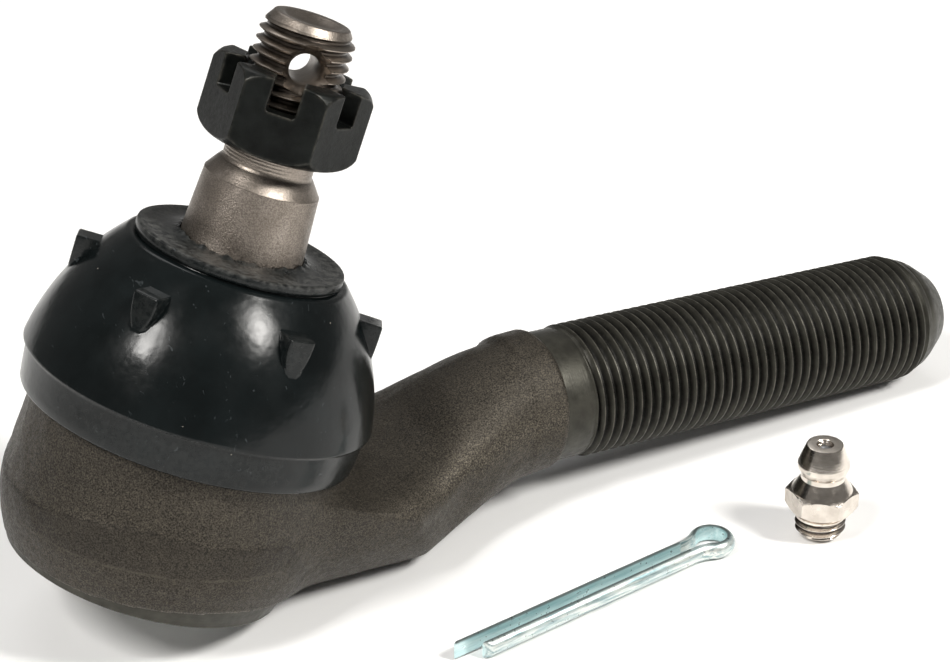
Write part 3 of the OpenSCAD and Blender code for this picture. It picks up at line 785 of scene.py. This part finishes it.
def grease_fitting():
    pitch, major, depth = 0.907, 3.17, 0.5
    flats, low, high, tall = 7.94, 3.75, 6.65, 12.95
    root = major - depth
    shank = [(0.0, 0.5), (0.9, 0.5), (1.1, 0.04), (1.3, 0.0), (2.0, 0.0), (2.2, 0.06), (root, 0.5)]
    screw = thread(0.5, 3.15, pitch, major, depth, ([0.5, 1.1, 3.15], [root, major, major]), 0.3, 0.9)
    head = [(major, 3.15), (2.95, 3.3), (2.9, 3.55), (2.9, 6.45), (3.86, 6.55), (3.8, 6.7), (2.95, 8.0)]
    head += [(2.84, 8.2), (2.78, 8.3), (2.76, 8.9), (2.8, 8.96), (2.92, 9.02), (3.17, 9.7), (3.25, 9.95)]
    head += [(3.27, 10.2), (3.2, 10.5), (2.32, 12.78), (2.25, 12.9), (2.12, tall)]
    head += [(1.15, tall), (1.0, tall - 0.1), (0.95, tall - 0.35), (0.92, 11.45), (0, 11.45)]
    core = join_grids("fitting", [turned(shank, 96), thread_count(screw), turned(head, 96)])
    corner = flats / math.sqrt(3)
    form = [(0, low), (3.7, low), (corner + 0.1, low + 0.75), (corner + 0.1, high - 0.55),
            (3.88, high), (0, high)]
    nut = carve(hexagon(flats, low - 1, high + 1), join_grids("form", [turned(form, 96)]), "INTERSECT")
    mesh = carve(core, nut, "UNION")
    mesh.name = "fitting"
    co = coordinates(mesh)
    out = np.hypot(co[:, 0], co[:, 1])
    threaded = (co[:, 2] > 0.8) & (co[:, 2] < 3.1)
    paint(mesh, "groove", np.where(threaded, (major - out) / depth, 0).clip(0, 1))
    hexed = (co[:, 2] > low - 0.05) & (co[:, 2] < high - 0.2) & (out > 3.7)
    paint(mesh, "face", hexed | (co[:, 2] > tall - 0.01))
    place(mesh, FITTING, "fitting", ("grease_fitting",), [NICKEL], 24)


def thread_count(grid):
    """Thins a thread's columns to the 96 of the profiles that it joins."""
    keep = np.round(np.linspace(0, grid.shape[1] - 1, 97)).astype(int)
    return grid[:, keep]


# ---------------------------------------------------------------- forged socket and arm

RIM_R, SOCKET_BOTTOM, SOCKET_TOP = 16.4, 14.6, 9.0
COLLAR_R, COLLAR_Z = 18.4, 4.30
# The arm along X: height of its edge, rise above it, depth below it, half width, and how
# square its upper and lower halves are
ARM = np.array([
    (2, -2.7, 5.6, 11.6, 19.1, 2.3, 3.5), (6, -1.5, 4.2, 12.7, 18.9, 2.3, 4.0),
    (13, -1.7, 5.1, 11.7, 18.3, 2.3, 4.5), (20, -1.5, 5.0, 11.35, 17.5, 2.2, 4.8),
    (25, -0.3, 5.1, 10.6, 16.0, 2.0, 4.8), (30, 1.1, 6.4, 10.0, 13.2, 1.9, 4.5),
    (34, 3.7, 8.3, 10.95, 11.2, 1.9, 3.8), (38, 5.6, 9.9, 9.95, 10.2, 2.0, 3.0),
    (42, 7.85, 10.35, 9.85, 9.2, 2.0, 2.4), (46, 10.0, 10.4, 9.7, 8.5, 2.0, 2.0),
    (52, 12.8, 8.9, 8.9, 8.7, 2.0, 2.0)])
GRID = 0.42
ARM_END_R = 8.62


def through(xs, ys, x):
    """Smooth curve through a few points, by cubic pieces with the slopes of their neighbours."""
    slope = np.gradient(ys, xs)
    i = np.clip(np.searchsorted(xs, x) - 1, 0, len(xs) - 2)
    width = xs[i + 1] - xs[i]
    t = np.clip((x - xs[i]) / width, 0, 1)
    return ((2 * t ** 3 - 3 * t ** 2 + 1) * ys[i] + (t ** 3 - 2 * t ** 2 + t) * width * slope[i]
            + (3 * t ** 2 - 2 * t ** 3) * ys[i + 1] + (t ** 3 - t ** 2) * width * slope[i + 1])


def blend_union(a, b, k):
    h = np.clip(0.5 + 0.5 * (b - a) / k, 0, 1)
    return b + (a - b) * h - k * h * (1 - h)


def lump(y, z, half, tall, power):
    """Rough signed distance to an oval with these half axes, squarer as the power grows."""
    reach = (np.abs(y / half) ** power + np.abs(z / tall) ** power) ** (1 / power)
    slope = np.hypot(np.abs(y) / half ** 2, np.abs(z) / tall ** 2) / np.maximum(reach, 0.3)
    return (reach - 1) / np.maximum(slope, 0.08)


def outline_distance(outline, r, z):
    """Signed distance in the plane to a closed outline, negative inside."""
    best = np.full(r.shape, 1e9)
    inside = np.zeros(r.shape, bool)
    for (r0, z0), (r1, z1) in zip(outline, outline[1:] + outline[:1]):
        dr, dz = r1 - r0, z1 - z0
        t = np.clip(((r - r0) * dr + (z - z0) * dz) / (dr * dr + dz * dz), 0, 1)
        best = np.minimum(best, (r - r0 - t * dr) ** 2 + (z - z0 - t * dz) ** 2)
        if dz:
            crosses = ((z0 > z) != (z1 > z)) & (r < r0 + (z - z0) * dr / dz)
            inside ^= crosses
    return np.sqrt(best) * np.where(inside, -1, 1)


def wobble(x, y, z, size, seed):
    """A slow, seeded unevenness from a few sine waves, about -1 to 1."""
    rng = np.random.default_rng(seed)
    total = 0
    for _ in range(6):
        way = rng.normal(size=3)
        way *= 2 * math.pi / size / np.linalg.norm(way)
        total = total + np.sin(way[0] * x + way[1] * y + way[2] * z + rng.uniform(0, 7))
    return total / 6


def socket_field(x, y, z):
    """Signed distance to the forging, with its arm, about the centre of the ball."""
    rho = np.hypot(x, y)
    ragged = 0.25 * wobble(x, y, 0 * z, 7, 3)
    step = parting(x) + ragged
    cup_outline = [(0, -SOCKET_BOTTOM + 0.4), (RIM_R - 0.2, -SOCKET_BOTTOM + 0.4),
                   (RIM_R + 0.8, -SOCKET_BOTTOM + 0.98), (18.15, -11.5), (18.65, -9.7),
                   (18.95, -7.7), (19.05, -5.8), (19.05, -5), (18.9, -2),
                   (18.6, COLLAR_Z + 0.1), (0, COLLAR_Z + 0.1)]
    cup = outline_distance(cup_outline, rho, z)
    cup = cup - 0.2 * smooth_step(0.3, -0.3, z - step) * smooth_step(-11.5, -8.5, z)
    cup = np.maximum(cup, np.minimum(rho - (RIM_R - 0.5), band_top(x) + 0.1 * ragged - z))
    edge, rise, depth, half, up, down = [through(ARM[:, 0], ARM[:, k], x) for k in range(1, 7)]
    dz = z - edge
    arm = lump(y, dz, half, np.where(dz > 0, rise, depth), np.where(dz > 0, up, down))
    arm = np.maximum(arm, 1.5 - x)
    along = x * math.cos(shank_rise) + (z + shank_drop) * math.sin(shank_rise)
    off = np.hypot(y, (z + shank_drop) * math.cos(shank_rise) - x * math.sin(shank_rise))
    # The arm ends in a short round collar, the size of the shank's neck
    arm = blend_union(arm, np.maximum(off - ARM_END_R, 47 - along), 1.6)
    allowed = np.interp(along, [40, 50.3, 51.1, 51.6], [16, 9.3, ARM_END_R, 7.9])
    arm = np.maximum(arm, off - allowed)
    arm = np.maximum(arm, along - 52.5)
    solid = blend_union(cup, arm, 2.6)
    # Seat for the boot, and the collar that it grips
    room = np.maximum(rho - (CREASE_R + 0.3), COLLAR_Z + 0.1 - z)
    solid = -blend_union(-solid, room, 0.5)
    collar = np.maximum(rho - COLLAR_R + 0.02, np.abs(z - 3.0) - (SOCKET_TOP - 3.0))
    solid = np.minimum(solid, collar)
    mouth = rho - (8.9 + 0.42 * np.maximum(z - 4.4, 0))
    bore = np.maximum(rho - 13.6, z - 4.4)
    cover_seat = np.maximum(rho - 14.45, np.abs(z + 11.75) - 1.1)
    lower = np.maximum(rho - 13.75, z + 12.0)
    hollow = np.minimum(np.minimum(mouth, bore), np.minimum(cover_seat, lower))
    solid = np.maximum(solid, -hollow)
    skin = 0.07 * wobble(x, y, z, 5.5, 7) + 0.05 * wobble(x, y, z, 2.6, 11)
    forged = smooth_step(-SOCKET_BOTTOM + 1.2, -SOCKET_BOTTOM + 2.6, z) * smooth_step(18.3, 18.7, rho)
    forged = forged * smooth_step(50.0, 47.5, along)
    return solid + skin * forged


def parting(x):
    """Height of the line where the two halves of the forging die met, round the cup."""
    return np.interp(x, [-19, -15.4, -9, -4, 2], [-6.3, -4.2, -3.0, -3.3, -3.1])


def band_top(x):
    """Height of the top of the band turned at the rim, which isn't square to the forging."""
    return np.clip(-12.15 + 0.115 * x, -14.2, -11.9)


def surface_net(field, origin, step):
    """Quads over the zero surface of a sampled field: one vertex per cell that it crosses."""
    corners = [(i, j, k) for i in (0, 1) for j in (0, 1) for k in (0, 1)]
    cells = tuple(n - 1 for n in field.shape)

    def shifted(i, j, k):
        return field[i:i + cells[0], j:j + cells[1], k:k + cells[2]]

    total = np.zeros(cells + (3,))
    count = np.zeros(cells)
    for a in corners:
        for axis in range(3):
            if a[axis]:
                continue
            b = tuple(v + (n == axis) for n, v in enumerate(a))
            fa, fb = shifted(*a), shifted(*b)
            cut = (fa < 0) != (fb < 0)
            t = np.where(cut, fa / np.where(cut, fa - fb, 1), 0)
            for n in range(3):
                total[..., n] += cut * (a[n] + (t if n == axis else 0))
            count += cut
    live = count > 0
    index = np.full(cells, -1)
    index[live] = np.arange(live.sum())
    place_in_cell = total[live] / count[live][:, None]
    verts = origin + step * (np.argwhere(live) + place_in_cell)
    faces = []
    for axis in range(3):
        u, v = (axis + 1) % 3, (axis + 2) % 3
        low = [slice(None)] * 3
        high = [slice(None)] * 3
        low[axis], high[axis] = slice(0, -1), slice(1, None)
        inside_low, inside_high = field[tuple(low)] < 0, field[tuple(high)] < 0
        cut = np.argwhere(inside_low != inside_high)
        cut = cut[(cut[:, u] > 0) & (cut[:, v] > 0) & (cut[:, u] < cells[u]) & (cut[:, v] < cells[v])]
        flip = inside_low[tuple(cut.T)]
        quad = []
        for du, dv in ((1, 1), (0, 1), (0, 0), (1, 0)):
            cell = cut.copy()
            cell[:, u] -= du
            cell[:, v] -= dv
            quad.append(index[tuple(cell.T)])
        quad = np.stack(quad, -1)
        quad[~flip] = quad[~flip][:, ::-1]
        faces.append(quad)
    return verts, np.concatenate(faces)


def socket_housing():
    low = np.array([-20.4, -20.6, -15.2])
    high = np.array([53.5, 20.6, 23.6])
    counts = np.ceil((high - low) / GRID).astype(int)
    axes = [low[n] + GRID * np.arange(counts[n]) for n in range(3)]
    x, y, z = np.meshgrid(*axes, indexing="ij")
    verts, faces = surface_net(socket_field(x, y, z), low, GRID)
    mesh = bpy.data.meshes.new("housing")
    mesh.from_pydata(verts.tolist(), [], faces.tolist())
    mesh.update()
    co = coordinates(mesh)
    edge = through(ARM[:, 0], ARM[:, 1], np.clip(co[:, 0], 2, 56))
    half = through(ARM[:, 0], ARM[:, 4], np.clip(co[:, 0], 2, 56))
    # Painted highlight: a band along the arm's upper front shoulder, where the light catches it; the rim term is
    # the bare trimmed edge
    band = np.exp(-((co[:, 2] - edge - 2.5) / 2.2) ** 2) * smooth_step(0.7, 0.9, np.abs(co[:, 1]) / half)
    band = 0.6 * band * smooth_step(18, 26, co[:, 0])
    rim = np.exp(-((co[:, 2] - band_top(co[:, 0]) - 0.12) / 0.22) ** 2)
    paint(mesh, "bare_edge_and_highlight", np.clip(band + rim, 0, 1))
    ragged = 0.25 * wobble(co[:, 0], co[:, 1], 0, 7, 3)
    near_arm = 5 * smooth_step(6, 15, co[:, 0])
    paint(mesh, "part", np.clip(co[:, 2] - parting(co[:, 0]) - ragged, -4, 4) + near_arm)
    paint(mesh, "seam", co[:, 2] + 7.0 - 0.12 * co[:, 0] - 0.5 * ragged + near_arm)
    place(mesh, JOINT, "housing", ("socket_housing",), [FORGED], 75)


def turned_rim():
    """The band that is turned round the bottom of the cup, where the cover is spun in."""
    out, low = RIM_R, -SOCKET_BOTTOM
    profile = [(14.6, low + 0.04), (out, low + 0.02), (out + 0.22, low + 0.08),
               (out + 0.33, low + 0.22), (out + 0.36, low + 0.4), (out + 0.5, low + 0.8),
               (out + 0.85, low + 1.6), (out + 1.2, low + 2.6), (15.0, low + 2.8), (14.6, low + 2.8),
               (14.6, low + 0.04)]
    mesh = join_grids("rim", [turned(profile, 160)])
    paint(mesh, "groove", 0.2)
    place(mesh, JOINT, "housing", ("socket_housing",), [TURNED_RIM], 25)


def shank():
    pitch, major, depth = 25.4 / 18, 8.73, 0.84
    low, high, end, root = 55.3, 110.7, 114.85, 7.86
    neck = [(0, 48.5), (8.45, 48.5), (8.45, 54.6), (8.4, 55.0), (8.3, low)]
    envelope = ([low, low + 0.7, 108.4, high], [8.3, major, major, root])
    tip = [(root, high), (7.66, 111.3), (7.3, 111.95), (6.0, 113.85), (5.45, 114.65),
           (5.34, 114.77), (5.1, end), (0, end)]
    screw = thread(low, high, pitch, major, depth, envelope, 0.5, 0.05, count=144)
    mesh = join_grids("shank", [turned(neck, 144), screw, turned(tip, 144)])
    co = coordinates(mesh)
    out = np.hypot(co[:, 0], co[:, 1])
    threaded = (co[:, 2] > low + 0.2) & (co[:, 2] < 108.6)
    paint(mesh, "groove", np.where(threaded, (major - out) / depth, 0.25).clip(0, 1))
    place(mesh, SHANK, "housing", ("socket_housing",), [MACHINED], 32)


# ---------------------------------------------------------------- carried-over CAD nodes

def dress(node, material):
    mesh = frame["nodes"][node].data
    mesh.materials.clear()
    mesh.materials.append(material)


dust_boot()
ball_stud()
castle_nut()
cotter_pin()
grease_fitting()
socket_housing()
turned_rim()
shank()
for node in ("upper_bearing", "lower_bearing", "fitting_check_ball"):
    dress(node, IRON)
for node in ("preload_spring", "fitting_check_spring"):
    dress(node, SPRING)
dress("cover_plate", PLATED)


# ---------------------------------------------------------------- floor, lights and camera

def floor():
    mesh = bpy.data.meshes.new("floor")
    size = 3.0
    mesh.from_pydata([(-size, -size, 0), (size, -size, 0), (size, size, 0), (-size, size, 0)], [],
                     [(0, 1, 2, 3)])
    mesh.transform(Matrix.Translation((0, 0, -0.0001)))
    piece = bpy.data.objects.new("floor", mesh)
    bpy.context.scene.collection.objects.link(piece)
    m = Paint("floor", Roughness=0.9, Specular_IOR_Level=0.1)
    m.set("Base Color", m.mix(m.noise(40, 2), (0.93, 0.93, 0.93), (0.95, 0.95, 0.95)))
    mesh.materials.append(m.material)


def softbox(name, azimuth, elevation, distance, size, power, colour=(1, 1, 1)):
    """Area light aimed at the ball, from a direction given like the camera's."""
    a, e = math.radians(azimuth), math.radians(elevation)
    way = Vector((math.sin(a) * math.cos(e), -math.cos(a) * math.cos(e), math.sin(e)))
    data = bpy.data.lights.new(name, "AREA")
    data.shape = "RECTANGLE"
    data.size, data.size_y = size
    data.energy = power
    data.color = colour
    lamp = bpy.data.objects.new(name, data)
    lamp.location = ball + way * distance
    lamp.rotation_euler = way.to_track_quat("Z", "Y").to_euler()
    bpy.context.scene.collection.objects.link(lamp)


def camera():
    """Camera at the photograph's angle, about 0.3 m from the joint."""
    data = bpy.data.cameras.new("camera")
    data.lens = 95.27
    data.sensor_width = 36
    data.clip_start = 0.01
    eye = bpy.data.objects.new("camera", data)
    eye.location = ball + Vector((-0.09910, -0.23878, 0.15054))
    way = Vector((0.4475, 0.7635, -0.4657)).normalized()
    up = Vector((0.2409, 0.3986, 0.8849))
    right = way.cross(up).normalized()
    up = right.cross(way)
    eye.rotation_euler = Matrix((right, up, -way)).transposed().to_euler()
    bpy.context.scene.collection.objects.link(eye)
    bpy.context.scene.camera = eye


floor()
camera()
softbox("left", -72, 53, 0.9, (0.17, 0.27), 5.8, (1, 0.98, 0.95))
softbox("right", 36, 44, 0.9, (0.17, 0.24), 7.6, (1, 0.98, 0.94))
softbox("far", 165, 55, 1.1, (0.6, 0.4), 1.7)

world = bpy.data.worlds.new("studio")
world.use_nodes = True
world.node_tree.nodes["Background"].inputs["Color"].default_value = (1.0, 0.98, 0.95, 1)
world.node_tree.nodes["Background"].inputs["Strength"].default_value = 0.18
bpy.context.scene.world = world
bpy.context.scene.view_settings.view_transform = "Standard"
